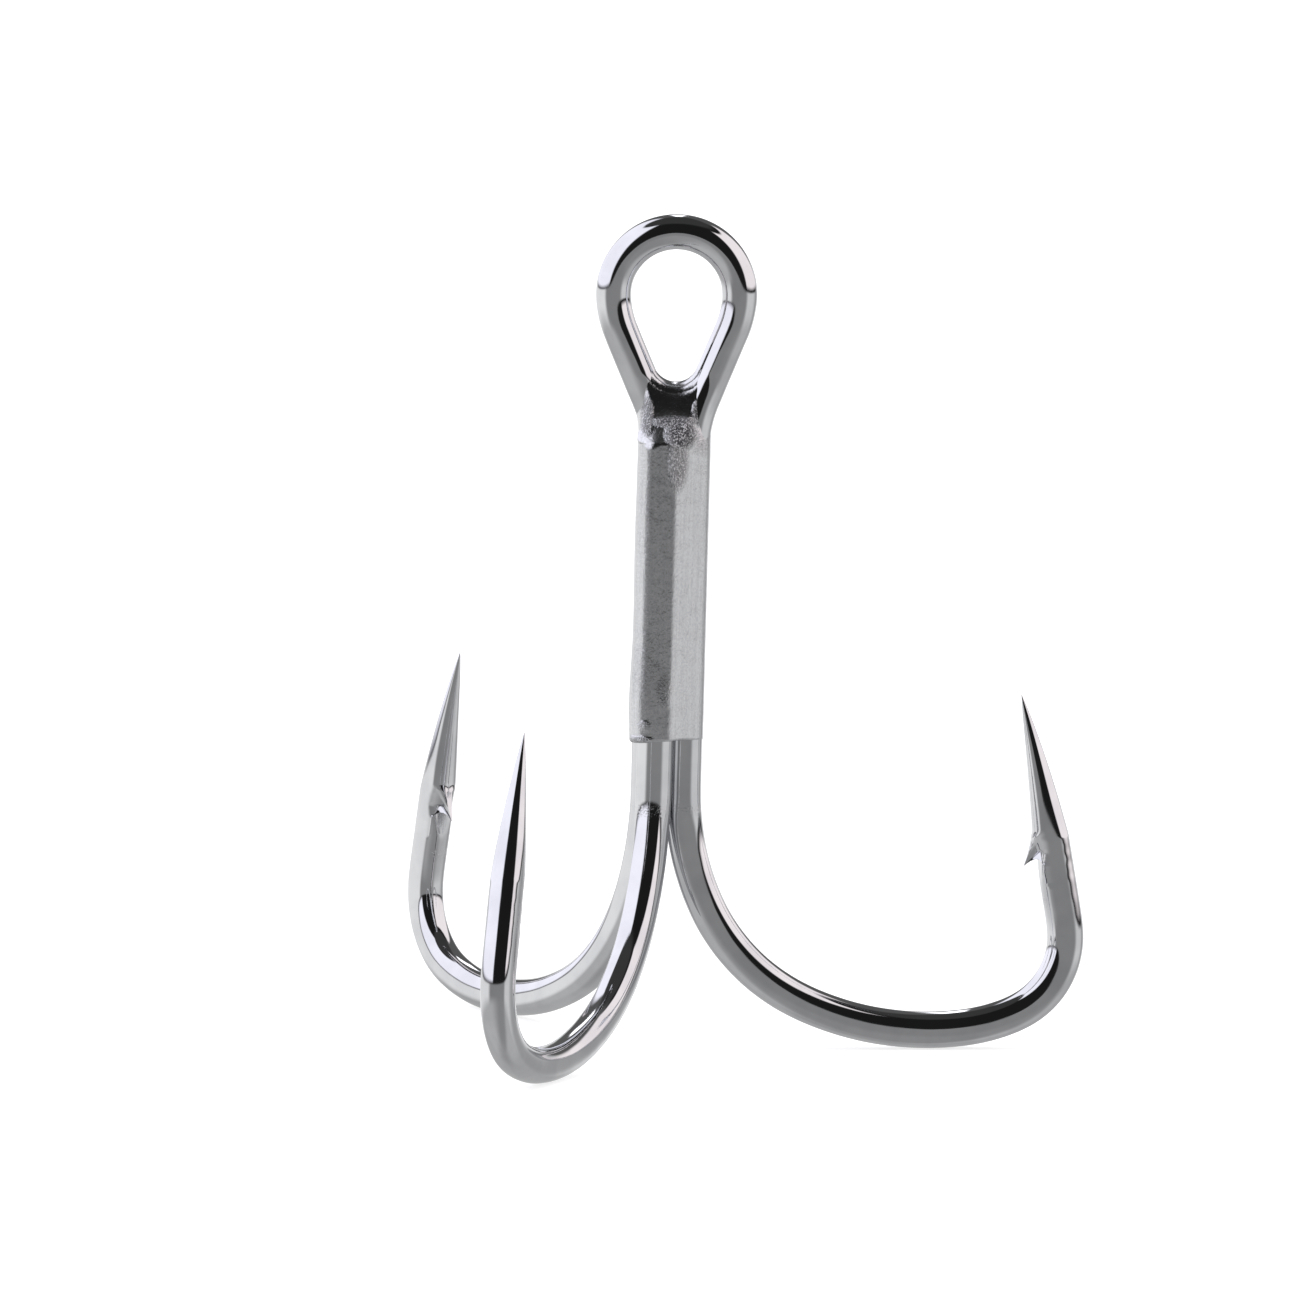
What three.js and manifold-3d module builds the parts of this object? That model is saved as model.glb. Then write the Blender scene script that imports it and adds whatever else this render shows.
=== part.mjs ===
// Treble fishing hook: a double hook bent from one wire, a single hook laid in the groove between its
// two shanks, and the braze metal that joins them.
// Units are millimetres and degrees. +Z runs up the shank to the eye, the origin is the centre of the eye
// and the eye's hole runs along Y. The eye is twisted on the shanks. Everything is built with the single hook
// along -Y, and the whole hook is turned at the end to bring the eye's hole on to Y.

import * as THREE from 'three';
import { mergeVertices } from 'three/addons/utils/BufferGeometryUtils.js';
import Module from 'manifold-3d';

// Wire: drawn round, a little thinner where it is stretched round the eye, and hammered to two parallel
// flats round the bend and up the leg.
const WIRE_DIAMETER = 2.38;
const EYE_WIRE_DIAMETER = 2.34;
const FORGED_WIDTH = 2.45;
const FORGED_THICKNESS = 2.2;
const FORGING_RUN = 2.5;

// Each braze solid stands this far off the wire surfaces beside it.
const CLEARANCE = 0.05;

// Eye, measured on the wire's centre line: a round top, rounded cheeks, two straight sides that lean in by
// the taper, and a fillet that turns each side down into its shank. The eye stands forward of the pair of
// shanks, and under the crotch its two sides twist round each other on their way down to them.
const EYE_TOP_Z = 4.48;
const EYE_RADIUS = 4.18;
const EYE_ROUND = 94;
const EYE_CHEEK_RADIUS = 6.8;
const EYE_TAPER = 22.6;
const EYE_FILLET = 8;
const EYE_SET = 0.4;
const EYE_SET_TOP_Z = -1.5;
const EYE_TWIST = 22;
const TWIST_TOP_Z = -5;

// Shanks: three wires nested in a triangle, the pair behind and the single one in front.
// Each hook of the pair points this far round from the back of the hook.
const SHANK_SPACING = WIRE_DIAMETER + 2 * CLEARANCE;
const PAIR_SPREAD = 56.5;
const SINGLE_TOP_Z = -9;
const BEND_TOP_Z = -32.9;

// Bend: tangent arcs from the shank round to the leg, open first and tight at the heel.
const BEND_ARCS = [
  { radius: 17.2, turn: 26 },
  { radius: 13.8, turn: 39 },
  { radius: 20.6, turn: 31.6 },
  { radius: 12.8, turn: 16.7 },
  { radius: 5.4, turn: 77.7 },
];

// Leg and point, along the straight run from the end of the bend to the tip.
const LEG_LENGTH = 5.95;
const POINT_LENGTH = 9.8;
const POINT_FULLNESS = 0.8;
const POINT_LEAN = 0.4;
const TIP_RADIUS = 0.05;

// Barb: a sliver cut from the inside of the leg, by distance back from the tip and height over the axis.
const BARB_THICKNESS = 1.1;
const BARB_ROOT = { back: 9.4, height: 1.1 };
const BARB_TIP = { back: 11.4, height: 2.15 };
const BARB_SEAT = { back: 9.9, height: 0.4 };
const NOTCH_ROOT = { back: 10.6, height: 0.95 };
const NOTCH_MOUTH = { back: 11.9, height: 2.4 };
const NOTCH_END = { back: 12.9, height: 1.3 };

// Braze: beads in the grooves and the core, and a cap from the crotch of the eye over the single hook's end.
const BRAZE_BOTTOM_Z = -29.3;
const BRAZE_WAIST = 0.1;
const BEAD_SHOULDER = 0.1;
const CROTCH_Y = 0.2;
const CROTCH_Z = -5.5;
const CAP_BOTTOM_Z = SINGLE_TOP_Z + CLEARANCE;
const CAP_LIP = 0.35;
const CAP_HALF_DEPTH = 0.95;
const CAP_WIDTH = 2.4;

// Facets.
const WIRE_SIDES = 16;
const DEGREES_PER_STEP = 8;
const SHANK_STEPS = 5;
const POINT_STEPS = 6;
const ARC_SEGMENTS = 10;

const WIRE_RADIUS = WIRE_DIAMETER / 2;
const PAIR_X = SHANK_SPACING / 2;
const PAIR_Y = EYE_SET;
const SINGLE_Y = PAIR_Y - SHANK_SPACING * Math.sin(THREE.MathUtils.degToRad(60));
const CORE_Y = PAIR_Y - SHANK_SPACING / (2 * Math.sqrt(3));
const GROOVE_RADIUS = WIRE_RADIUS + CLEARANCE;
// The angle, at a wire's centre, between the line to its neighbour and the waist where the bead starts.
const WAIST_ANGLE = Math.acos((SHANK_SPACING / 2 - BRAZE_WAIST / 2) / GROOVE_RADIUS);
const UP = new THREE.Vector3(0, 0, 1);

const wasm = await Module();
wasm.setup();

const plating = new THREE.MeshStandardMaterial({ color: 0xb9bcc0, roughness: 0.16, metalness: 1 });
const brazePlating = new THREE.MeshStandardMaterial({ color: 0xaeb0b4, roughness: 0.3, metalness: 1 });

function toSolid(geometry) {
  const bare = geometry.clone();
  bare.deleteAttribute('normal');
  bare.deleteAttribute('uv');
  const merged = mergeVertices(bare, 1e-4);
  return new wasm.Manifold(new wasm.Mesh({
    numProp: 3,
    vertProperties: new Float32Array(merged.attributes.position.array),
    triVerts: new Uint32Array(merged.index.array),
  }));
}

function toGeometry(solid) {
  const mesh = solid.getMesh();
  const geometry = new THREE.BufferGeometry();
  geometry.setAttribute('position', new THREE.BufferAttribute(mesh.vertProperties, 3));
  geometry.setIndex(new THREE.BufferAttribute(mesh.triVerts, 1));
  geometry.computeVertexNormals();
  return geometry;
}

function namedMesh(name, geometry, material) {
  const mesh = new THREE.Mesh(geometry, material);
  mesh.name = name;
  return mesh;
}

// Follows straight and round moves in one upright plane. u is sideways, heading 0 is straight down, and a
// positive turn swings the heading towards +u and then up.
function tracePath(start, moves) {
  const spots = [start];
  for (const move of moves) {
    const { length = 0, radius = 0, turn = 0 } = move;
    const steps = move.steps ?? Math.ceil(Math.abs(turn) / DEGREES_PER_STEP);
    const halfTurn = THREE.MathUtils.degToRad(turn / steps / 2);
    const chord = turn ? 2 * radius * Math.sin(Math.abs(halfTurn)) : length / steps;
    const arc = turn ? 2 * radius * Math.abs(halfTurn) : length / steps;
    for (let step = 0; step < steps; step += 1) {
      const last = spots.at(-1);
      const middle = last.heading + halfTurn;
      spots.push({
        u: last.u + chord * Math.sin(middle),
        z: last.z - chord * Math.cos(middle),
        heading: last.heading + 2 * halfTurn,
        travel: last.travel + arc,
      });
    }
  }
  return spots;
}

// The bearing is the compass direction of the plane that the hook lies in, from +Y towards +X.
function bearingVector(bearing) {
  const angle = THREE.MathUtils.degToRad(bearing);
  return new THREE.Vector3(Math.sin(angle), Math.cos(angle), 0);
}

// One cross-section of the wire: a circle, cut to two flats where the wire is forged.
function section(centre, bearing, heading, radius, halfFlat) {
  const sideways = bearingVector(bearing);
  return {
    centre,
    along: sideways.clone().multiplyScalar(Math.sin(heading)).addScaledVector(UP, -Math.cos(heading)),
    inward: sideways.clone().multiplyScalar(Math.cos(heading)).addScaledVector(UP, Math.sin(heading)),
    side: sideways.clone().cross(UP),
    radius,
    halfFlat,
  };
}

// The bend, leg and point of one hook, starting at the bottom of its shank.
function hookSections(shankX, shankY, bearing) {
  const spots = tracePath({ u: 0, z: BEND_TOP_Z, heading: 0, travel: 0 }, [
    ...BEND_ARCS,
    { length: LEG_LENGTH, steps: 2 },
    { length: POINT_LENGTH, steps: POINT_STEPS },
  ]);
  const total = spots.at(-1).travel;
  return spots.map(({ u, z, heading, travel }) => {
    const forging = Math.min(travel / FORGING_RUN, 1);
    const fromTip = Math.min((total - travel) / POINT_LENGTH, 1);
    const fullRadius = THREE.MathUtils.lerp(WIRE_RADIUS, FORGED_WIDTH / 2, forging);
    const centre = bearingVector(bearing).multiplyScalar(u).add(new THREE.Vector3(shankX, shankY, z));
    const radius = Math.max(fullRadius * fromTip ** POINT_FULLNESS, TIP_RADIUS);
    const halfFlat = THREE.MathUtils.lerp(WIRE_RADIUS, FORGED_THICKNESS / 2, forging);
    const slice = section(centre, bearing, heading, radius, halfFlat);
    slice.centre.addScaledVector(slice.inward, POINT_LEAN * (1 - fromTip) ** 2);
    return slice;
  });
}

// Half of the eye and the shank below it, from the top of the eye down. The two halves are mirror images but
// for their twist, so the other half is built with the opposite twist and then mirrored.
function eyeAndShankSections(twist) {
  const taper = THREE.MathUtils.degToRad(EYE_TAPER);
  const top = { u: 0, z: EYE_TOP_Z, heading: Math.PI / 2, travel: 0 };
  const round = tracePath(top, [
    { radius: EYE_RADIUS, turn: -EYE_ROUND },
    { radius: EYE_CHEEK_RADIUS, turn: EYE_ROUND - 90 - EYE_TAPER },
  ]);
  const cheekEnd = round.pop();
  const filletReach = EYE_FILLET * (1 - Math.cos(taper));
  const sides = tracePath(cheekEnd, [
    { length: (cheekEnd.u - filletReach - PAIR_X) / Math.sin(taper), steps: 4 },
    { radius: EYE_FILLET, turn: EYE_TAPER },
  ]);
  const filletEnd = sides.at(-1);
  const shankLength = filletEnd.z - BEND_TOP_Z;
  const shank = tracePath(filletEnd, [{ length: shankLength, steps: SHANK_STEPS }]).slice(1, -1);
  const place = ({ u, z, heading }, bearing) => {
    const set = THREE.MathUtils.smoothstep(-z, -EYE_SET_TOP_Z, -filletEnd.z);
    const radius = THREE.MathUtils.lerp(EYE_WIRE_DIAMETER / 2, WIRE_RADIUS, set);
    const turned = twist * (1 - THREE.MathUtils.smoothstep(-z, -TWIST_TOP_Z, -filletEnd.z));
    const centre = bearingVector(90 - turned).multiplyScalar(u).add(new THREE.Vector3(0, PAIR_Y * set, z));
    return section(centre, bearing - turned, heading, radius, radius);
  };
  const shankBearing = (index) => THREE.MathUtils.lerp(90, PAIR_SPREAD, (index + 1) / SHANK_STEPS);
  return [
    ...round.map((spot) => place(spot, 90)),
    ...sides.map((spot) => place(spot, 90)),
    ...shank.map((spot, index) => place(spot, shankBearing(index))),
  ];
}

function mirrored(slice) {
  const flip = new THREE.Vector3(-1, 1, 1);
  return {
    ...slice,
    centre: slice.centre.clone().multiply(flip),
    along: slice.along.clone().multiply(flip),
    inward: slice.inward.clone().multiply(flip),
    side: slice.side.clone().multiply(flip),
  };
}

// Bends a unit cylinder along the sections, which run from its top to its bottom.
function sweep(sections, margin = 0) {
  const geometry = new THREE.CylinderGeometry(1, 1, 1, WIRE_SIDES, sections.length - 1);
  const position = geometry.attributes.position;
  for (let index = 0; index < position.count; index += 1) {
    const unit = new THREE.Vector3().fromBufferAttribute(position, index);
    const slice = sections[Math.round((0.5 - unit.y) * (sections.length - 1))];
    const radius = slice.radius + margin;
    const limit = slice.halfFlat + margin;
    const spot = slice.centre.clone()
      .addScaledVector(slice.inward, unit.x * radius)
      .addScaledVector(slice.side, THREE.MathUtils.clamp(unit.z * radius, -limit, limit));
    position.setXYZ(index, spot.x, spot.y, spot.z);
  }
  return toSolid(geometry);
}

// A flat wedge in the plane of the hook, drawn in distance back from the tip and height over the leg's axis.
function legWedge(corners, thickness, tip) {
  const outline = new THREE.Shape(corners.map(({ back, height }) => new THREE.Vector2(-back, height)));
  const geometry = new THREE.ExtrudeGeometry(outline, { depth: thickness, bevelEnabled: false });
  const across = tip.along.clone().cross(tip.inward);
  const axisEnd = tip.centre.clone().addScaledVector(tip.inward, -POINT_LEAN);
  geometry.translate(0, 0, -thickness / 2);
  geometry.applyMatrix4(new THREE.Matrix4().makeBasis(tip.along, tip.inward, across).setPosition(axisEnd));
  return toSolid(geometry);
}

// Raises the barb on a finished wire and cuts the notch under it.
function withBarb(wire, sections) {
  const tip = sections.at(-1);
  const barb = legWedge([BARB_ROOT, BARB_TIP, NOTCH_ROOT, BARB_SEAT], BARB_THICKNESS, tip);
  const notch = legWedge([NOTCH_ROOT, NOTCH_MOUTH, NOTCH_END], FORGED_WIDTH, tip);
  return wire.subtract(notch).add(barb);
}

function doubleHookWire() {
  const hook = hookSections(PAIR_X, PAIR_Y, PAIR_SPREAD);
  const half = [...eyeAndShankSections(EYE_TWIST), ...hook];
  const otherHalf = [...eyeAndShankSections(-EYE_TWIST), ...hook].slice(1).map(mirrored);
  const wire = sweep([...otherHalf.reverse(), ...half]);
  return withBarb(withBarb(wire, hook), hook.map(mirrored));
}

function singleHookWire() {
  const hook = hookSections(0, SINGLE_Y, 180);
  const top = section(new THREE.Vector3(0, SINGLE_Y, SINGLE_TOP_Z), 180, 0, WIRE_RADIUS, WIRE_RADIUS);
  return withBarb(sweep([top, ...hook]), hook);
}

function extrudeUp(outline, bottom, top) {
  const settings = { depth: top - bottom, bevelEnabled: false, curveSegments: ARC_SEGMENTS };
  return new THREE.ExtrudeGeometry(outline, settings).translate(0, 0, bottom);
}

// The bead that fills the groove between two touching wires, flush with both. It is drawn with the wires
// either side of the Y axis and the groove opening along +Y, then turned to its own bearing.
function grooveBead(bearing) {
  const half = SHANK_SPACING / 2;
  const shoulder = Math.asin((WIRE_RADIUS - BEAD_SHOULDER) / GROOVE_RADIUS);
  const outline = new THREE.Shape();
  outline.absarc(-half, 0, GROOVE_RADIUS, shoulder, WAIST_ANGLE, true);
  outline.absarc(half, 0, GROOVE_RADIUS, Math.PI - WAIST_ANGLE, Math.PI - shoulder, true);
  outline.lineTo(half - GROOVE_RADIUS * Math.cos(shoulder), WIRE_RADIUS);
  outline.lineTo(GROOVE_RADIUS * Math.cos(shoulder) - half, WIRE_RADIUS);
  return extrudeUp(outline, BRAZE_BOTTOM_Z, SINGLE_TOP_Z)
    .translate(0, PAIR_Y - CORE_Y, 0)
    .rotateZ(-THREE.MathUtils.degToRad(bearing))
    .translate(0, CORE_Y, 0);
}

// The metal in the middle of the three wires: a triangle with hollow sides and blunt corners.
function brazeCore() {
  const circumradius = SHANK_SPACING / Math.sqrt(3);
  const outline = new THREE.Shape();
  for (const bearing of [60, -60, 180]) {
    const towards = THREE.MathUtils.degToRad(90 - bearing);
    const from = towards + Math.PI + Math.PI / 6 - WAIST_ANGLE;
    const to = towards + Math.PI - Math.PI / 6 + WAIST_ANGLE;
    const x = circumradius * Math.cos(towards);
    const y = circumradius * Math.sin(towards);
    outline.absarc(x, y, GROOVE_RADIUS, from, to, true);
  }
  return extrudeUp(outline, BRAZE_BOTTOM_Z, SINGLE_TOP_Z).translate(0, CORE_Y, 0);
}

// The web that closes the bottom of the eye and runs forward, as a ramp, over the single hook's cut end.
function brazeCap() {
  const profile = new THREE.Shape([
    new THREE.Vector2(PAIR_Y + CAP_HALF_DEPTH, CAP_BOTTOM_Z),
    new THREE.Vector2(CROTCH_Y + CAP_HALF_DEPTH, CROTCH_Z),
    new THREE.Vector2(CROTCH_Y - CAP_HALF_DEPTH, CROTCH_Z),
    new THREE.Vector2(SINGLE_Y - CAP_HALF_DEPTH, CAP_BOTTOM_Z + CAP_LIP),
    new THREE.Vector2(SINGLE_Y - CAP_HALF_DEPTH, CAP_BOTTOM_Z),
  ]);
  const block = new THREE.ExtrudeGeometry(profile, { depth: CAP_WIDTH, bevelEnabled: false });
  const axes = new THREE.Matrix4().makeBasis(new THREE.Vector3(0, 1, 0), UP, new THREE.Vector3(1, 0, 0));
  block.translate(0, 0, -CAP_WIDTH / 2).applyMatrix4(axes);
  const otherHalf = eyeAndShankSections(-EYE_TWIST).slice(1).map(mirrored);
  const wires = sweep([...otherHalf.reverse(), ...eyeAndShankSections(EYE_TWIST)], CLEARANCE);
  return toSolid(block).subtract(wires);
}

const trebleHook = new THREE.Group();
trebleHook.add(
  namedMesh('double_hook_wire', toGeometry(doubleHookWire()), plating),
  namedMesh('single_hook_wire', toGeometry(singleHookWire()), plating),
  namedMesh('braze_cap', toGeometry(brazeCap()), brazePlating),
  namedMesh('braze_core', brazeCore(), brazePlating),
  namedMesh('braze_bead_back', grooveBead(0), brazePlating),
  namedMesh('braze_bead_right', grooveBead(120), brazePlating),
  namedMesh('braze_bead_left', grooveBead(-120), brazePlating),
);
trebleHook.rotation.z = -THREE.MathUtils.degToRad(EYE_TWIST);

export default trebleHook;
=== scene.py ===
"""Looks of the treble hook: bright plated wire, the braze that joins the shanks, and a pale studio.

The hook and the camera are laid out in millimetres, and the floor and the light in metres. The origin is the
centre of the eye with +Z up the shank. The hook is built with its single hook along -Y, then turned by the
eye's twist to bring the eye's hole on to Y, as in the CAD frame. Meshes are written in metres.
"""
import math

import bpy
import numpy as np
from mathutils import Matrix, Vector


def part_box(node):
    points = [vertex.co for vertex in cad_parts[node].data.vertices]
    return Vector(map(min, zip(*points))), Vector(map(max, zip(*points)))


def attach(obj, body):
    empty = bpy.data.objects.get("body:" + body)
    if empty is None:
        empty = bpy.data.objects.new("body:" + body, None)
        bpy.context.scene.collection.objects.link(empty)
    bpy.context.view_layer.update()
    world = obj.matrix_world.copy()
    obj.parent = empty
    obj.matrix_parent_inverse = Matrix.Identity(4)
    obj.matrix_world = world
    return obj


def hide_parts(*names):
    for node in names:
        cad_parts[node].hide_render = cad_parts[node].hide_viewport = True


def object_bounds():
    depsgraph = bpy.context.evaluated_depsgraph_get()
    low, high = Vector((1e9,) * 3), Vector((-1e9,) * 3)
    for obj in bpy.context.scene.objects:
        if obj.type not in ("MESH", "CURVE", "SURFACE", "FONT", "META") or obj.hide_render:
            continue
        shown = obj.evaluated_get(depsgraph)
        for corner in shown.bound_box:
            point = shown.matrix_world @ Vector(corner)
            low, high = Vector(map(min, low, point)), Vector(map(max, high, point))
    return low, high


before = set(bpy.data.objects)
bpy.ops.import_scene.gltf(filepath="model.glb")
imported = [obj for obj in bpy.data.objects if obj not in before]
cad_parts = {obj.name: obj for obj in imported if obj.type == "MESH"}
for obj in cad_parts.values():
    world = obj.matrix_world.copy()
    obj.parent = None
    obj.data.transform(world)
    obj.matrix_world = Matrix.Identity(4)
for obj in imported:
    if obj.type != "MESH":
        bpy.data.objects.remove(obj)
cad_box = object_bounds()

MM = 0.001

# Wire.
WIRE_RADIUS = 1.19
EYE_WIRE_RADIUS = 1.17
FORGED_RADIUS = 1.225
FORGED_HALF_FLAT = 1.1
FLAT_CORNER_POWER = 10
FORGING_RUN = 2.5

# Eye and shanks.
EYE_TOP_Z = 4.48
EYE_RADIUS = 4.18
EYE_ROUND = math.radians(94)
EYE_CHEEK_RADIUS = 6.8
EYE_TAPER = math.radians(22.6)
EYE_FILLET = 8.0
EYE_SET_TOP_Z = -1.5
EYE_TWIST = math.radians(22)
TWIST_TOP_Z = -5
BEND_TOP_Z = -32.9
PAIR_SPREAD = 56.5
SHANK_SPACING = 2 * WIRE_RADIUS + 0.1
PAIR_X = SHANK_SPACING / 2
PAIR_Y = 0.4
SINGLE_Y = PAIR_Y - SHANK_SPACING * math.sin(math.radians(60))
HOOKS = [(PAIR_X, PAIR_Y, PAIR_SPREAD), (-PAIR_X, PAIR_Y, -PAIR_SPREAD), (0, SINGLE_Y, 180)]
SINGLE_TOP_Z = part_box("single_hook_wire")[1].z / MM
CUT_END_COVER = 0.6

# Bend, as radius and turn in degrees, then the straight leg and the point.
BEND_ARCS = [(17.2, 26), (13.8, 39), (20.6, 31.6), (12.8, 16.7), (5.4, 77.7)]
BEND_SOFTENING = 1.5
LEG_LENGTH = 5.95
POINT_LENGTH = 9.8
POINT_FULLNESS = 0.8
POINT_LEAN = 0.4
TIP_RADIUS = 0.02

# Barb, by distance back from the tip and height over the leg's axis.
BARB_ROOT_BACK = 9.3
BARB_TIP_BACK = 11.4
BARB_TIP_HEIGHT = 2.15
NOTCH_ROOT_BACK = 10.6
NOTCH_ROOT_HEIGHT = 0.92
NOTCH_END_BACK = 12.9
BARB_CREST_HALF_WIDTH = 0.3
BARB_TIP_HALF_WIDTH = 0.04
BARB_BASE_WIDENING = 2.8
BARB_FLARE = 1.35
HAMMER_DEPTH = 0.006

# Braze.
BRAZE_BOTTOM_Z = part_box("braze_core")[0].z / MM
RAMP_BOTTOM_Z = SINGLE_TOP_Z - 0.35
RAMP_TOP_Z = -6.4
RAMP_TOP_REACH = 0.45
RAMP_SOFTNESS = 0.4
RAMP_TOP_RADIUS = 0.62
RAMP_TOP_SHARE = 0.8
FRONT_HALF_WIDTH = 0.42
COAT_TOP_Z = -4.5
RIM_CENTRE_Z = -4.02
RIM_RADIUS = 2.66
RIM_GROWTH = 0.75
RIM_BLEND = 0.4
COAT = 0.045
COAT_FADE_BOTTOM_Z = -8.6
COAT_FADE_TOP_Z = -7.0
BRAZE_TOP_ROUNDING = 0.1
BRAZE_BOTTOM_ROUNDING = 0.22
BRAZE_BOTTOM_WAVE = 0.12
BRAZE_CENTRE_Y = PAIR_Y - SHANK_SPACING / (2 * math.sqrt(3))
# Thicker places in the coat: bearing from the camera's side, spread in degrees, height, half height, depth.
BRAZE_LOBES = [
    (-70, 45, -26.5, 3.0, 0.16),
    (-60, 50, -16.0, 4.0, 0.05),
    (60, 25, -12.5, 3.5, 0.03),
]

# Where the forging's end marks each leg, by distance back from the tip.
FORGING_MARK_BACK = 14.1
# Rough patches of the braze, whose pits the braze finish also darkens nearly to black as painted shade. Each
# holds x, y, z, the half sizes along X, Y and Z, and strength.
BRAZE_SAND = [
    (0.55, -1.8, -8.8, 1.3, 3.0, 1.3, 1.0),
    (0.35, -1.8, -10.6, 0.9, 3.0, 2.6, 0.55),
    (0.1, -1.8, -8.0, 1.9, 3.0, 0.45, 0.8),
    (-1.8, -1.8, -7.6, 0.6, 3.0, 1.7, 0.6),
    (1.65, -1.8, -7.4, 0.55, 3.0, 1.1, 0.9),
    (-0.15, -1.8, -26.0, 0.7, 3.0, 1.5, 0.14),
    (-1.4, -1.8, -28.2, 0.6, 3.0, 0.5, 0.2),
    (-1.6, -1.8, -29.1, 1.0, 3.0, 0.3, 0.4),
]

# Mesh fineness.
WIRE_SIDES = 64
STATION_STEP = 0.2
BRAZE_CELL = 0.11

# Studio, as azimuth from and to and elevation from and to. Degrees, with the camera at azimuth 0.
LEFT_PANEL = (-156, -33, -0.5, 60)
RIGHT_PANEL = (50, 137, 0.5, 53)
LEFT_PANEL_COLOUR = (1.25, 1.25, 1.36, 1)
RIGHT_PANEL_COLOUR = (1.17, 1.09, 1.10, 1)
LAMP_COLOUR = (3.0, 3.0, 3.1, 1)

# Camera. The studio's front faces it.
CAMERA_AZIMUTH = math.radians(0.05)
CAMERA_ELEVATION = math.radians(6.93)
CAMERA_ROLL = math.radians(1.5)
CAMERA_DISTANCE = 1499.3
CAMERA_LENS = 632
AIM_LEFT_OF_EYE = 2.09
AIM_BELOW_EYE = 22.9


def smoothstep(low, high, value):
    share = np.clip((value - low) / (high - low), 0, 1)
    return share * share * (3 - 2 * share)


def lerp(a, b, share):
    return a + (b - a) * share


# ---------------------------------------------------------------- wire centre lines

def trace_path(start, moves, softening=0.0):
    """Follows (length, turn) moves in one upright plane, from (u, z, heading) with heading 0 straight down.

    Returns u, z, heading and travel at every station. Softening evens out the steps in curvature.
    """
    steps, bends = [], []
    for length, turn in moves:
        count = max(2, round(length / STATION_STEP))
        steps.append(np.full(count, length / count))
        bends.append(np.full(count, turn / length))
    step, bend = np.concatenate(steps), np.concatenate(bends)
    if softening:
        window = int(round(softening / STATION_STEP / 2)) * 2 + 1
        kernel = np.ones(window) / window
        padded = np.pad(bend, window, mode="edge")
        padded = np.convolve(np.convolve(padded, kernel, "same"), kernel, "same")
        bend = padded[window:-window]
    heading = start[2] + np.concatenate([[0], np.cumsum(bend * step)])
    middle = (heading[:-1] + heading[1:]) / 2
    u = start[0] + np.concatenate([[0], np.cumsum(step * np.sin(middle))])
    z = start[1] - np.concatenate([[0], np.cumsum(step * np.cos(middle))])
    travel = np.concatenate([[0], np.cumsum(step)])
    return u, z, heading, travel


def frames(centre, bearing, heading):
    """The three axes of each cross-section: along the wire, inward and sideways. Bearing is in degrees."""
    bearing = np.radians(np.broadcast_to(bearing, heading.shape))
    out = np.stack([np.sin(bearing), np.cos(bearing), np.zeros_like(bearing)], 1)
    up = np.array([0, 0, 1.0])
    sin, cos = np.sin(heading)[:, None], np.cos(heading)[:, None]
    return {
        "centre": centre,
        "along": out * sin - up * cos,
        "inward": out * cos + up * sin,
        "side": np.cross(out, up),
    }


def hook_stations(shank_x, shank_y, bearing):
    """Bend, leg and point of one hook, from the bottom of its shank to its tip."""
    moves = [(radius * math.radians(turn), math.radians(turn)) for radius, turn in BEND_ARCS]
    moves += [(LEG_LENGTH, 0), (POINT_LENGTH, 0)]
    lead = 2 * BEND_SOFTENING
    u, z, heading, travel = trace_path((0, BEND_TOP_Z + lead, 0), [(lead, 0)] + moves, BEND_SOFTENING)
    bearing_rad = math.radians(bearing)
    centre = np.stack([
        shank_x + u * math.sin(bearing_rad),
        shank_y + u * math.cos(bearing_rad),
        z,
    ], 1)
    stations = frames(centre, bearing, heading)
    forging = smoothstep(0, FORGING_RUN, travel - lead)
    back = travel[-1] - travel
    from_tip = np.clip(back / POINT_LENGTH, 0, 1)
    stations["radius"] = np.maximum(
        lerp(WIRE_RADIUS, FORGED_RADIUS, forging) * from_tip ** POINT_FULLNESS, TIP_RADIUS)
    stations["forging"] = forging
    stations["back"] = back
    lean = POINT_LEAN * (1 - from_tip) ** 2
    stations["centre"] = centre + stations["inward"] * lean[:, None]
    return stations


def straight_stations(x, y, top_z, bottom_z, bearings):
    """A straight run of shank. Its frames turn evenly between the two bearings."""
    count = int((top_z - bottom_z) / STATION_STEP)
    z = np.linspace(top_z, bottom_z, count + 1)[:-1]
    centre = np.stack([np.full_like(z, x), np.full_like(z, y), z], 1)
    stations = frames(centre, np.linspace(*bearings, len(z)), np.zeros_like(z))
    stations["radius"] = np.full_like(z, WIRE_RADIUS)
    return stations


def eye_outline():
    """Half of the eye before it is twisted, from its top down to where its leg turns into the shank."""
    moves = [
        (EYE_RADIUS * EYE_ROUND, -EYE_ROUND),
        (EYE_CHEEK_RADIUS * (math.pi / 2 + EYE_TAPER - EYE_ROUND), EYE_ROUND - math.pi / 2 - EYE_TAPER),
    ]
    cheek_end = trace_path((0, EYE_TOP_Z, math.pi / 2), moves)[0][-1]
    fillet_reach = EYE_FILLET * (1 - math.cos(EYE_TAPER))
    side = (cheek_end - fillet_reach - PAIR_X) / math.sin(EYE_TAPER)
    moves += [(side, 0), (EYE_FILLET * EYE_TAPER, EYE_TAPER)]
    return trace_path((0, EYE_TOP_Z, math.pi / 2), moves)


EYE_OUTLINE = eye_outline()
EYE_BOTTOM_Z = EYE_OUTLINE[1][-1]


def settled(z):
    """How far a place on the eye has come down to the shanks: 0 on the eye and 1 where the shanks start."""
    return smoothstep(-EYE_SET_TOP_Z, -EYE_BOTTOM_Z, -z)


def twist_left(z):
    """The share of the eye's twist that is left at a height: all of it on the eye, none on the shanks."""
    return 1 - smoothstep(-TWIST_TOP_Z, -EYE_BOTTOM_Z, -z)


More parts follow.
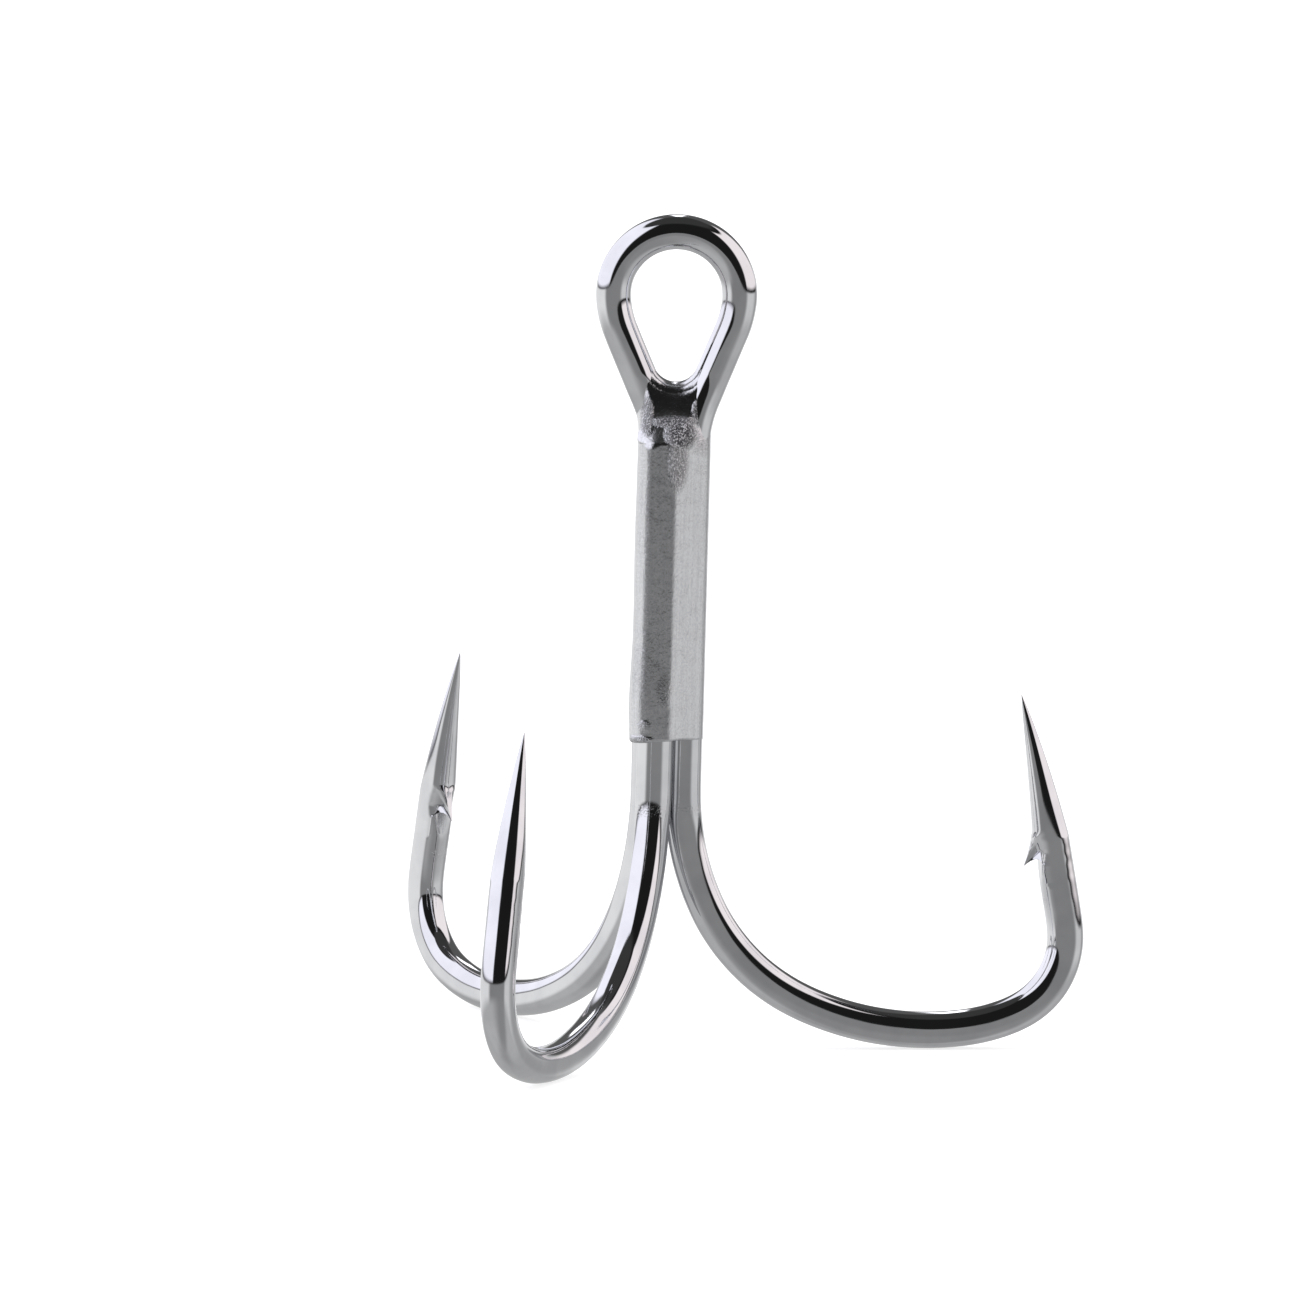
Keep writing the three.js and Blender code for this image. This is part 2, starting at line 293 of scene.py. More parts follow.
def eye_stations(twist):
    u, z, heading, _ = EYE_OUTLINE
    set_back = PAIR_Y * settled(z)
    turned = twist * twist_left(z)
    centre = np.stack([u * np.cos(turned), u * np.sin(turned) + set_back, z], 1)
    stations = frames(centre, 90 - np.degrees(turned), heading)
    stations["radius"] = lerp(EYE_WIRE_RADIUS, WIRE_RADIUS, settled(z))
    return {key: value[:-1] for key, value in stations.items()}


def join_stations(*runs):
    """Chains runs of stations, and fills in what only the hook's stations have."""
    defaults = {"forging": 0.0, "back": 1000.0}
    joined = {}
    for key in ("centre", "along", "inward", "side", "radius", "forging", "back"):
        parts = [run.get(key, np.full(len(run["radius"]), defaults.get(key, 0.0))) for run in runs]
        joined[key] = np.concatenate(parts)
    return joined


# ---------------------------------------------------------------- wire surface

RING_ANGLES = np.linspace(0, 2 * math.pi, WIRE_SIDES, endpoint=False)
INNER_SIDE = np.cos(RING_ANGLES) > 0
# Columns of vertices are counted from the inner side. The barb's crest ends at column CREST_COLUMNS and its
# flanks at FLANK_COLUMNS, and beyond OUTER_COLUMNS no column is drawn in.
COLUMN = (np.arange(WIRE_SIDES) + WIRE_SIDES // 2) % WIRE_SIDES - WIRE_SIDES // 2
CREST_COLUMNS = 3
FLANK_COLUMNS = 7
OUTER_COLUMNS = 13


def ring_shape(stations):
    """Inward and sideways offset of each vertex of each ring: a circle, with flats where it is forged."""
    radius = stations["radius"][:, None]
    power = FLAT_CORNER_POWER
    cut = (radius ** -power + (np.abs(np.sin(RING_ANGLES)) / FORGED_HALF_FLAT) ** power) ** (-1 / power)
    reach = lerp(radius, cut, stations["forging"][:, None])
    return reach * np.cos(RING_ANGLES), reach * np.sin(RING_ANGLES)


def barb_rows():
    """The barb's outline in the plane of the hook, one row for each ring of vertices.

    A row holds the distance back and the height at the middle of the wire, the distance back at its sides,
    the half width of the lifted crest, and 1 on the sliver or 0 on the floor of the notch.
    """
    root = (BARB_ROOT_BACK, FORGED_RADIUS, BARB_CREST_HALF_WIDTH)
    tip = (BARB_TIP_BACK, BARB_TIP_HEIGHT, BARB_TIP_HALF_WIDTH)
    notch = (NOTCH_ROOT_BACK, NOTCH_ROOT_HEIGHT, BARB_CREST_HALF_WIDTH)
    end = (NOTCH_END_BACK, FORGED_RADIUS, BARB_CREST_HALF_WIDTH)
    runs = [(root, tip, 12, BARB_FLARE, 1), (tip, notch, 6, 1, 1), (notch, end, 12, 1, 0)]
    rows = []
    for start, stop, count, bow, on_sliver in runs:
        for share in np.arange(1, count + 1) / count:
            back, height, half_width = (lerp(a, b, share) for a, b in zip(start, stop))
            height = lerp(start[1], stop[1], share ** bow)
            rows.append([back, height, 0, half_width, on_sliver])
    rows = np.array(rows[:-1])
    rows[:, 2] = np.linspace(BARB_ROOT_BACK, NOTCH_END_BACK, len(rows) + 2)[1:-1]
    return rows


def notch_floor(back):
    share = (back - NOTCH_ROOT_BACK) / (NOTCH_END_BACK - NOTCH_ROOT_BACK)
    return np.where(back < NOTCH_ROOT_BACK, 10.0, lerp(NOTCH_ROOT_HEIGHT, FORGED_RADIUS, share))


def gather_columns(sideways, crest_half_width):
    """Draws the inner columns of vertices together, to follow the edges of the barb's crest and base."""
    column = np.abs(COLUMN)
    base_half_width = BARB_BASE_WIDENING * crest_half_width
    crest = crest_half_width * column / CREST_COLUMNS
    down = np.clip((column - CREST_COLUMNS) / (FLANK_COLUMNS - CREST_COLUMNS), 0, 1)
    placed = lerp(crest_half_width, base_half_width, down)
    placed = np.where(column <= CREST_COLUMNS, crest, placed)
    out = smoothstep(FLANK_COLUMNS, OUTER_COLUMNS, column)
    placed = lerp(placed, np.abs(sideways), out)
    return np.where(INNER_SIDE, np.sign(COLUMN) * np.sign(np.sin(RING_ANGLES[1])) * placed, sideways)


def wire_grid(stations):
    """Vertex positions, ring by ring, with the barb lifted and its notch cut."""
    back = stations["back"]
    first = np.argmax(back < NOTCH_END_BACK)
    last = np.argmax(back < BARB_ROOT_BACK)
    rows = barb_rows()[::-1]
    patch = {}
    for key, value in stations.items():
        columns = value.reshape(len(value), -1)
        found = [np.interp(-rows[:, 2], -back, columns[:, c]) for c in range(columns.shape[1])]
        patch[key] = np.stack(found, 1).reshape((len(rows),) + value.shape[1:])
    rings = {
        key: np.concatenate([value[:first], patch[key], value[last:]]) for key, value in stations.items()
    }
    inward, sideways = ring_shape(rings)
    slide = np.zeros_like(inward)

    barb = slice(first, first + len(rows))
    radius = rings["radius"][barb, None]
    gathered = gather_columns(sideways[barb], rows[:, 3:4])
    rise = np.sqrt(np.maximum(radius ** 2 - gathered ** 2, 0))
    rise -= np.sqrt(np.maximum(radius ** 2 - sideways[barb] ** 2, 0))
    inward[barb] += np.where(INNER_SIDE, rise, 0)
    sideways[barb] = gathered

    near = np.clip((FLANK_COLUMNS - np.abs(COLUMN)) / (FLANK_COLUMNS - CREST_COLUMNS), 0, 1)
    slide[barb] = (rows[:, 2:3] - rows[:, 0:1]) * near
    floor = np.minimum(inward[barb], notch_floor(rows[:, 2:3] - slide[barb]))
    sliver = lerp(floor, rows[:, 1:2], near)
    cut = np.where(rows[:, 4:5] > 0, sliver, floor)
    inward[barb] = np.where(INNER_SIDE, cut, inward[barb])

    return (
        rings["centre"][:, None]
        + rings["inward"][:, None] * inward[..., None]
        + rings["side"][:, None] * sideways[..., None]
        + rings["along"][:, None] * slide[..., None]
    )


def hammer_marks(grid, seed):
    """Moves the surface in and out by a few micrometres in long soft waves, as a forged wire has."""
    rng = np.random.default_rng(seed)
    count = len(grid)
    travel = np.arange(count)[:, None] * STATION_STEP
    ripple = np.zeros((count, WIRE_SIDES))
    for wavelength in (7.0, 4.1, 2.3, 1.4):
        for lobes in (1, 2, 3, 5):
            phase, turn = rng.uniform(0, 2 * math.pi, 2)
            along = np.sin(2 * math.pi * travel / wavelength + phase)
            ripple += along * np.cos(lobes * RING_ANGLES + turn) * wavelength / lobes
    ripple *= HAMMER_DEPTH / np.abs(ripple).max()
    middle = grid.mean(1, keepdims=True)
    away = grid - middle
    distance = np.linalg.norm(away, axis=2, keepdims=True)
    share = np.clip(distance / WIRE_RADIUS, 0, 1)
    return grid + away / distance * (ripple[..., None] * share)


def tube_faces(rings, sides, closed_start, closed_end):
    index = np.arange(rings * sides).reshape(rings, sides)
    turned = np.roll(index, -1, axis=1)
    quads = np.stack([index[:-1], turned[:-1], turned[1:], index[1:]], -1).reshape(-1, 4)
    faces = quads.tolist()
    if closed_start:
        faces.append(index[0][::-1].tolist())
    if closed_end:
        faces.append(index[-1].tolist())
    return faces


def new_piece(name, vertices, faces, crease=None):
    mesh = bpy.data.meshes.new(name)
    mesh.from_pydata((np.asarray(vertices) * MM).tolist(), [], faces)
    mesh.validate()
    mesh.shade_smooth()
    if crease:
        mesh.set_sharp_from_angle(angle=math.radians(crease))
    piece = bpy.data.objects.new(name, mesh)
    bpy.context.scene.collection.objects.link(piece)
    return piece


def outward(grid, faces):
    """Turns every face over if the first quad faces into the wire."""
    a, b, c = (grid.reshape(-1, 3)[faces[0][k]] for k in (0, 1, 2))
    away = a - grid[0].mean(0)
    if np.dot(np.cross(b - a, c - a), away) < 0:
        return [face[::-1] for face in faces]
    return faces


def wire_piece(name, grid):
    faces = outward(grid, tube_faces(len(grid), WIRE_SIDES, True, True))
    piece = new_piece(name, grid.reshape(-1, 3), faces, crease=38)
    store_along_and_around(piece, grid)
    return piece


def store_along_and_around(piece, grid):
    """Keeps each vertex's travel along the wire and round it, in millimetres, for the drawing lines."""
    middle = grid.mean(1)
    travel = np.concatenate([[0], np.cumsum(np.linalg.norm(np.diff(middle, axis=0), axis=1))])
    turn = np.broadcast_to(RING_ANGLES * WIRE_RADIUS, grid.shape[:2])
    values = np.stack([np.broadcast_to(travel[:, None], turn.shape), turn, np.zeros_like(turn)], -1)
    attribute = piece.data.attributes.new("along_around", "FLOAT_VECTOR", "POINT")
    attribute.data.foreach_set("vector", values.astype(np.float32).ravel())


def turned_to_eye(points):
    """Turns points about Z, from the shanks' own frame to the one where the eye's hole is along Y."""
    cos, sin = math.cos(EYE_TWIST), math.sin(EYE_TWIST)
    return points @ np.array([[cos, -sin, 0], [sin, cos, 0], [0, 0, 1]])


def half_double_hook(twist):
    shank_bottom_z = BEND_TOP_Z + 2 * BEND_SOFTENING
    shank = straight_stations(PAIR_X, PAIR_Y, EYE_BOTTOM_Z, shank_bottom_z, (90, PAIR_SPREAD))
    return wire_grid(join_stations(eye_stations(twist), shank, hook_stations(PAIR_X, PAIR_Y, PAIR_SPREAD)))


def double_hook():
    """Its halves mirror each other but for the twist, so one is built twisted the other way and mirrored."""
    half = half_double_hook(EYE_TWIST)
    other_half = half_double_hook(-EYE_TWIST)[::-1] * np.array([-1, 1, 1])
    grid = hammer_marks(np.concatenate([other_half[:-1], half]), seed=3)
    return wire_piece("double_hook_plated", turned_to_eye(grid))


def single_hook():
    """Its cut end stops just under the braze that ramps over it."""
    shank = straight_stations(
        0, SINGLE_Y, SINGLE_TOP_Z - CUT_END_COVER, BEND_TOP_Z + 2 * BEND_SOFTENING, (180, 180))
    grid = wire_grid(join_stations(shank, hook_stations(0, SINGLE_Y, 180)))
    return wire_piece("single_hook_plated", turned_to_eye(hammer_marks(grid, seed=5)))


# ---------------------------------------------------------------- braze

def leg_place(z):
    """Half spacing, set-back and twist of the pair's legs at a height."""
    u, outline_z, _, _ = EYE_OUTLINE
    below_middle = outline_z < 0
    spread = np.interp(z, outline_z[below_middle][::-1], u[below_middle][::-1])
    return spread, PAIR_Y * settled(z), EYE_TWIST * twist_left(z)


def smooth_min(a, b, width):
    share = np.clip(0.5 + 0.5 * (b - a) / width, 0, 1)
    return lerp(b, a, share) - width * share * (1 - share)


def plan_distance(x, y, corners):
    """Signed distance in plan to a convex shape whose corners run anticlockwise, seen from above."""
    nearest = np.full(np.shape(x), np.inf)
    outside = np.zeros(np.shape(x), bool)
    for (start_x, start_y), (end_x, end_y) in zip(corners, corners[1:] + corners[:1]):
        edge_x, edge_y = end_x - start_x, end_y - start_y
        along = ((x - start_x) * edge_x + (y - start_y) * edge_y) / (edge_x ** 2 + edge_y ** 2)
        along = np.clip(along, 0, 1)
        gap = np.hypot(x - start_x - along * edge_x, y - start_y - along * edge_y)
        nearest = np.minimum(nearest, gap)
        outside |= edge_x * (y - start_y) < edge_y * (x - start_x)
    return np.where(outside, nearest, -nearest)


def braze_field(x, y, z):
    """Distance-like value in millimetres, negative inside the braze.

    In plan it is a rounded hull round the two legs and a flat front, which faces the same way as the eye. The
    front stands over the single hook, and ramps back between the legs above its cut end.
    """
    spread, set_back, twist = leg_place(z)
    cos, sin = math.cos(EYE_TWIST), math.sin(EYE_TWIST)
    ramp = (z - RAMP_BOTTOM_Z) / (RAMP_TOP_Z - RAMP_BOTTOM_Z)
    ramp = smooth_min(ramp, 1.0, RAMP_SOFTNESS)
    ramp = -smooth_min(-ramp, 0.0, lerp(0.02, RAMP_SOFTNESS, smoothstep(-0.5, 0.7, x * cos + y * sin)))
    front_x = lerp(0.0, RAMP_TOP_REACH * sin, ramp)
    front_y = lerp(SINGLE_Y, set_back - RAMP_TOP_REACH * cos, ramp)
    half_front = lerp(FRONT_HALF_WIDTH, RAMP_TOP_SHARE * spread, np.sqrt(np.maximum(ramp, 0)))
    leg_x, leg_y = spread * np.cos(twist), spread * np.sin(twist)
    hull = plan_distance(x, y, [
        (leg_x, set_back + leg_y),
        (-leg_x, set_back - leg_y),
        (front_x - half_front * cos, front_y - half_front * sin),
        (front_x + half_front * cos, front_y + half_front * sin),
    ])
    forward = (x * sin - (y - set_back) * cos) / (front_x * sin - (front_y - set_back) * cos)
    hull = hull - lerp(WIRE_RADIUS, lerp(WIRE_RADIUS, RAMP_TOP_RADIUS, ramp), np.clip(forward, 0, 1))

    bearing = np.arctan2(x, -(y - BRAZE_CENTRE_Y))
    off_centre = smoothstep(0.2, 1.0, np.hypot(x, y - BRAZE_CENTRE_Y))
    y = y - set_back
    x, y = x * np.cos(twist) + y * np.sin(twist), y * np.cos(twist) - x * np.sin(twist)

    # The web's rim carries the wire's roundness across the bottom of the eye, tangent to both legs.
    from_rim = RIM_RADIUS - np.hypot(x, z - RIM_CENTRE_Z)
    thickness = EYE_WIRE_RADIUS + RIM_GROWTH * np.maximum(0.5 - from_rim, 0) * (y < 0)
    web = np.hypot(np.maximum(from_rim, 0), y) - thickness
    body = -smooth_min(-hull, -web, RIM_BLEND)

    angle = bearing - EYE_TWIST
    coat = lerp(COAT, 0.0, smoothstep(COAT_FADE_BOTTOM_Z, COAT_FADE_TOP_Z, z))
    for turn, spread_angle, height, tall, depth in BRAZE_LOBES:
        off_angle = np.angle(np.exp(1j * (angle - math.radians(turn)))) / math.radians(spread_angle)
        off_height = (z - height) / tall
        coat = coat + depth * np.exp(-off_angle ** 2 - off_height ** 2)
    body = body - coat

    bottom = BRAZE_BOTTOM_Z + BRAZE_BOTTOM_WAVE * off_centre * np.sin(2 * angle + 0.6) - z
    body = -smooth_min(-body, -bottom, BRAZE_BOTTOM_ROUNDING)
    return -smooth_min(-body, -(z - COAT_TOP_Z), BRAZE_TOP_ROUNDING)


def surface_net(field, low, high, cell):
    """One quad for each grid edge that crosses the surface. Its vertices are the middles of the cells."""
    axes = [np.arange(a, b + cell, cell) for a, b in zip(low, high)]
    points = np.meshgrid(*axes, indexing="ij")
    value = field(*points)
    inside = value < 0
    filled = 0
    for corner in np.ndindex(2, 2, 2):
        shifted = tuple(slice(start, size - 1 + start) for start, size in zip(corner, inside.shape))
        filled = filled + inside[shifted].astype(int)
    crossing = (filled > 0) & (filled < 8)
    cells = np.argwhere(crossing)
    number = np.full(crossing.shape, -1)
    number[crossing] = np.arange(len(cells))
    vertices = np.array(low) + (cells + 0.5) * cell
    faces = []
    for axis in range(3):
        others = [a for a in range(3) if a != axis]
        lower = [slice(1, -1)] * 3
        lower[axis] = slice(0, -1)
        upper = list(lower)
        upper[axis] = slice(1, None)
        changes = inside[tuple(lower)] != inside[tuple(upper)]
        rises = inside[tuple(lower)] & changes
        for spot in np.argwhere(changes):
            base = spot + 1
            base[axis] = spot[axis]
            quad = []
            for step in ((0, 0), (-1, 0), (-1, -1), (0, -1)):
                cell_index = base.copy()
                cell_index[others[0]] += step[0]
                cell_index[others[1]] += step[1]
                quad.append(int(number[tuple(cell_index)]))
            flip = rises[tuple(spot)] == (axis == 1)
            faces.append(quad[::-1] if flip else quad)
    return vertices, faces


def field_slope(field, points):
    nudge = 0.01
    slope = []
    for axis in range(3):
        ahead, behind = points.copy(), points.copy()
        ahead[:, axis] += nudge
        behind[:, axis] -= nudge
        slope.append((field(*ahead.T) - field(*behind.T)) / (2 * nudge))
    return np.stack(slope, 1)


def settle(field, vertices, faces, rounds):
    """Evens out the vertices and draws them on to the surface, a few times over."""
    corner = np.array(faces)
    for _ in range(rounds):
        total = np.zeros_like(vertices)
        count = np.zeros(len(vertices))
        middle = vertices[corner].mean(1)
        for k in range(4):
            np.add.at(total, corner[:, k], middle)
            np.add.at(count, corner[:, k], 1)
        vertices = lerp(vertices, total / count[:, None], 0.6)
        for _ in range(3):
            slope = field_slope(field, vertices)
            size = np.maximum((slope ** 2).sum(1), 0.05)
            vertices = vertices - slope * (field(*vertices.T) / size)[:, None]
    return vertices


def braze_piece():
    low = (-SHANK_SPACING - 1.6, SINGLE_Y - 2, BRAZE_BOTTOM_Z - 0.5)
    high = (SHANK_SPACING + 1.6, PAIR_Y + 2, COAT_TOP_Z + 0.5)
    vertices, faces = surface_net(braze_field, low, high, BRAZE_CELL)
    vertices = settle(braze_field, vertices, faces, rounds=4)
    normals = turned_to_eye(field_slope(braze_field, vertices))
    piece = new_piece("braze_deposit", turned_to_eye(vertices), faces)
    normals /= np.linalg.norm(normals, axis=1, keepdims=True)
    piece.data.normals_split_custom_set_from_vertices(normals.tolist())
    return piece


# ---------------------------------------------------------------- node helpers

class Nodes:
    """Short ways to add and join shader nodes in one tree."""

    def __init__(self, tree):
        self.tree = tree
        tree.nodes.clear()

    def add(self, kind, **settings):
        node = self.tree.nodes.new(kind)
        for key, value in settings.items():
            setattr(node, key, value)
        return node

    def feed(self, socket, value):
        if isinstance(value, bpy.types.NodeSocket):
            self.tree.links.new(value, socket)
        else:
            socket.default_value = value

    def math(self, operation, *values):
        node = self.add("ShaderNodeMath", operation=operation)
        for socket, value in zip(node.inputs, values):
            self.feed(socket, value)
        return node.outputs[0]

    def ease(self, value, low, high, start=0.0, end=1.0):
        node = self.add("ShaderNodeMapRange", interpolation_type="SMOOTHSTEP")
        for socket, item in zip(node.inputs, (value, low, high, start, end)):
            self.feed(socket, item)
        return node.outputs[0]

    def between(self, value, low, high, soft):
        """1 where the value lies between low and high, with soft edges."""
        rise = self.ease(value, low - soft, low + soft)
        fall = self.ease(value, high - soft, high + soft, 1.0, 0.0)
        return self.math("MULTIPLY", rise, fall)

    def panel(self, azimuth, elevation, extent, soft_sides, soft_ends):
        """1 in a rectangle of directions, with soft edges."""
        across = self.between(azimuth, *extent[:2], soft_sides)
        return self.math("MULTIPLY", across, self.between(elevation, *extent[2:], soft_ends))

    def mix_value(self, share, a, b):
        node = self.add("ShaderNodeMix", data_type="FLOAT")
        self.feed(node.inputs["Factor"], share)
        self.feed(node.inputs[2], a)
        self.feed(node.inputs[3], b)
        return node.outputs[0]

    def grey(self, value):
        node = self.add("ShaderNodeCombineColor")
        for socket in node.inputs:
            self.feed(socket, value)
        return node.outputs[0]

    def mix(self, share, a, b):
        node = self.add("ShaderNodeMix", data_type="RGBA")
        self.feed(node.inputs["Factor"], share)
        self.feed(node.inputs[6], a)
        self.feed(node.inputs[7], b)
        return node.outputs[2]

    def noise(self, vector, scale, detail=2.0, roughness=0.5):
        node = self.add("ShaderNodeTexNoise")
        self.feed(node.inputs["Vector"], vector)
        node.inputs["Scale"].default_value = scale
        node.inputs["Detail"].default_value = detail
        node.inputs["Roughness"].default_value = roughness
        return node.outputs["Fac"]

    def stretch(self, vector, scale):
        node = self.add("ShaderNodeMapping")
        self.feed(node.inputs["Vector"], vector)
        node.inputs["Scale"].default_value = scale
        return node.outputs["Vector"]

    def bump(self, height, depth, normal=None):
        node = self.add("ShaderNodeBump")
        node.inputs["Strength"].default_value = 1.0
        node.inputs["Distance"].default_value = depth
        self.feed(node.inputs["Height"], height)
        if normal is not None:
            self.feed(node.inputs["Normal"], normal)
        return node.outputs["Normal"]


def metal(nodes, colour, roughness, normal):
    shader = nodes.add("ShaderNodeBsdfPrincipled")
    shader.inputs["Metallic"].default_value = 1.0
    nodes.feed(shader.inputs["Base Color"], colour)
    nodes.feed(shader.inputs["Roughness"], roughness)
    nodes.feed(shader.inputs["Normal"], normal)
    output = nodes.add("ShaderNodeOutputMaterial")
    nodes.feed(output.inputs["Surface"], shader.outputs["BSDF"])


def plated_wire_material():
    material = bpy.data.materials.new("plated_wire")
    material.use_nodes = True
    nodes = Nodes(material.node_tree)
    place = nodes.add("ShaderNodeTexCoord").outputs["Object"]
    along = nodes.add("ShaderNodeAttribute", attribute_name="along_around").outputs["Vector"]
    wear = nodes.add("ShaderNodeAttribute", attribute_name="wear").outputs["Fac"]

    cloud = nodes.noise(place, 400, detail=3)
    colour = nodes.mix(nodes.ease(cloud, 0.35, 0.65), (0.70, 0.705, 0.72, 1), (0.64, 0.645, 0.665, 1))

    lines = nodes.noise(nodes.stretch(along, (0.25, 9, 1)), 1.0, detail=3, roughness=0.6)
    grit = nodes.noise(place, 9000, detail=2)
    pits = nodes.math("MULTIPLY", nodes.ease(grit, 0.52, 0.66), wear)

    roughness = nodes.ease(cloud, 0.3, 0.7, 0.03, 0.07)
    roughness = nodes.math("ADD", roughness, nodes.math("MULTIPLY", pits, 0.12))
    normal = nodes.bump(lines, 0.9e-6)
    normal = nodes.bump(pits, 14e-6, normal)
    metal(nodes, colour, roughness, normal)
    return material


def plated_braze_material():
    material = bpy.data.materials.new("plated_braze")
    material.use_nodes = True
    nodes = Nodes(material.node_tree)
    place = nodes.add("ShaderNodeTexCoord").outputs["Object"]
    wear = nodes.add("ShaderNodeAttribute", attribute_name="wear").outputs["Fac"]

    streaks = nodes.noise(nodes.stretch(place, (4200, 4200, 260)), 1.0, detail=3, roughness=0.6)
    grain = nodes.noise(place, 7000, detail=4, roughness=0.8)
    sand = nodes.noise(nodes.stretch(place, (9000, 9000, 6500)), 1.0, detail=3, roughness=0.6)
    dents = nodes.noise(nodes.stretch(place, (1500, 1500, 900)), 1.0, detail=3, roughness=0.6)

    tone = nodes.math("MULTIPLY_ADD", streaks, 0.3, nodes.math("MULTIPLY", grain, 0.7))
    colour = nodes.mix(nodes.ease(tone, 0.36, 0.64), (0.60, 0.605, 0.625, 1), (0.73, 0.735, 0.75, 1))
    # Painted shade: the pits in the rough patches are darkened nearly to black in the colour.
    pits = nodes.math("MULTIPLY", nodes.ease(sand, 0.59, 0.48), wear)
    colour = nodes.mix(nodes.math("MULTIPLY", pits, 0.92), colour, (0.03, 0.03, 0.035, 1))

    roughness = nodes.ease(grain, 0.35, 0.65, 0.12, 0.2)
    roughness = nodes.mix_value(wear, roughness, 0.08)
    normal = nodes.bump(streaks, 2e-6)
    normal = nodes.bump(grain, 6e-6, normal)
    normal = nodes.bump(dents, 30e-6, normal)
    normal = nodes.bump(nodes.math("MULTIPLY", sand, wear), 260e-6, normal)
    metal(nodes, colour, roughness, normal)
    return material


# ---------------------------------------------------------------- wear

def patches(vertices, spots):
    """The strongest of several soft patches. A spot holds its centre, three half sizes and its strength."""
    wear = np.zeros(len(vertices))
    for x, y, z, half_x, half_y, half_z, strength in spots:
        off = (vertices - np.array([x, y, z])) / np.array([half_x, half_y, half_z])
        distance = np.linalg.norm(off, axis=1)
        wear = np.maximum(wear, strength * (1 - smoothstep(0.45, 1, distance)))
    return wear


def store_wear(piece, spots):
    vertices = np.empty(3 * len(piece.data.vertices))
    piece.data.vertices.foreach_get("co", vertices)
    wear = patches(vertices.reshape(-1, 3) / MM, spots)
    attribute = piece.data.attributes.new("wear", "FLOAT", "POINT")
    attribute.data.foreach_set("value", wear.astype(np.float32))


def forging_spots():
    """Where the forging starts on each shank, and where its end marks each leg."""
    spots = []
    for shank_x, shank_y, bearing in HOOKS:
        stations = hook_stations(shank_x, shank_y, bearing)
        centre = turned_to_eye(stations["centre"])
        inward = turned_to_eye(stations["inward"])
        mark = int(np.argmax(stations["back"] < FORGING_MARK_BACK))
        spots.append((*(centre[mark] + inward[mark]), 0.9, 0.9, 0.5, 0.8))
        start = int(np.argmax(stations["forging"] > 0.3))
        spots.append((*centre[start], 1.6, 1.6, 0.7, 0.7))
    return spots


# ---------------------------------------------------------------- studio

def studio_world():
    """A plain studio as the polished metal sees it.

    Two big soft panels stand left and right of the camera, and a small lamp is high behind the hook. The rest
    of the room is dark, and the pale floor fills everything below. The camera itself sees only white.
    """
    world = bpy.data.worlds.new("studio")
    bpy.context.scene.world = world
    world.use_nodes = True
    nodes = Nodes(world.node_tree)
    direction = nodes.add("ShaderNodeTexCoord").outputs["Generated"]
    turned = nodes.add("ShaderNodeVectorRotate", rotation_type="Z_AXIS")
    nodes.feed(turned.inputs["Vector"], direction)
    turned.inputs["Angle"].default_value = -CAMERA_AZIMUTH
    split = nodes.add("ShaderNodeSeparateXYZ")
    nodes.feed(split.inputs[0], turned.outputs[0])
    right, away, up = split.outputs
    toward = nodes.math("MULTIPLY", away, -1.0)
    azimuth = nodes.math("MULTIPLY", nodes.math("ARCTAN2", right, toward), 180 / math.pi)
    elevation = nodes.math("MULTIPLY", nodes.math("ARCSINE", up), 180 / math.pi)
    aside = nodes.math("ABSOLUTE", azimuth)

    # Floor: dark before the hook and to its right, brighter to the sides, most of all towards the horizon.
    # Each ease runs between two azimuths or elevations, and then between two brightnesses.
    left = nodes.math("MULTIPLY", azimuth, -1.0)
    deep = nodes.math("ADD", nodes.ease(left, -15, 50, 0.33, 0.57), nodes.ease(azimuth, 35, 70, 0.0, 0.22))
    deep = nodes.math("ADD", deep, nodes.ease(aside, 100, 130, 0.0, -0.06))
    deep = nodes.mix_value(nodes.ease(elevation, -88, -60), 0.40, deep)
    near = nodes.math("ADD", nodes.ease(left, 43, 66, 0.29, 1.0), nodes.ease(azimuth, 38, 62, 0.0, 0.48))
    near = nodes.math("ADD", near, nodes.ease(azimuth, 95, 130, 0.0, -0.35))
    near = nodes.math("ADD", near, nodes.ease(azimuth, 135, 150, 0.0, 0.55))
    floor = nodes.mix_value(nodes.ease(elevation, -26, -12), deep, near)

    # Room above the horizon.
    room = nodes.ease(aside, 110.0, 140.0, 0.014, 0.12)
    low_down = nodes.ease(elevation, 4.0, 14.0, 0.75, 0.0)
    backdrop = nodes.math("MULTIPLY", nodes.ease(aside, 120.0, 150.0), low_down)
    room = nodes.math("ADD", room, backdrop)
    overhead = nodes.ease(elevation, 56.0, 66.0)
    room = nodes.mix_value(overhead, room, 0.05)

    left_panel = nodes.panel(azimuth, elevation, LEFT_PANEL, 4, 2)
    right_panel = nodes.panel(azimuth, elevation, RIGHT_PANEL, 4, 2)
    lamp = nodes.math(
        "MULTIPLY", nodes.ease(aside, 174.0, 178.0), nodes.between(elevation, 30, 54, 2))

    above = nodes.ease(elevation, -3.5, -1.5)
    value = nodes.mix_value(above, floor, room)
    colour = nodes.grey(value)
    colour = nodes.mix(left_panel, colour, LEFT_PANEL_COLOUR)
    colour = nodes.mix(right_panel, colour, RIGHT_PANEL_COLOUR)
    colour = nodes.mix(lamp, colour, LAMP_COLOUR)

    seen = nodes.add("ShaderNodeLightPath").outputs["Is Camera Ray"]
    colour = nodes.mix(seen, colour, (1.0, 1.0, 1.0, 1))
    background = nodes.add("ShaderNodeBackground")
    nodes.feed(background.inputs["Color"], colour)
    output = nodes.add("ShaderNodeOutputWorld")
    nodes.feed(output.inputs["Surface"], background.outputs[0])


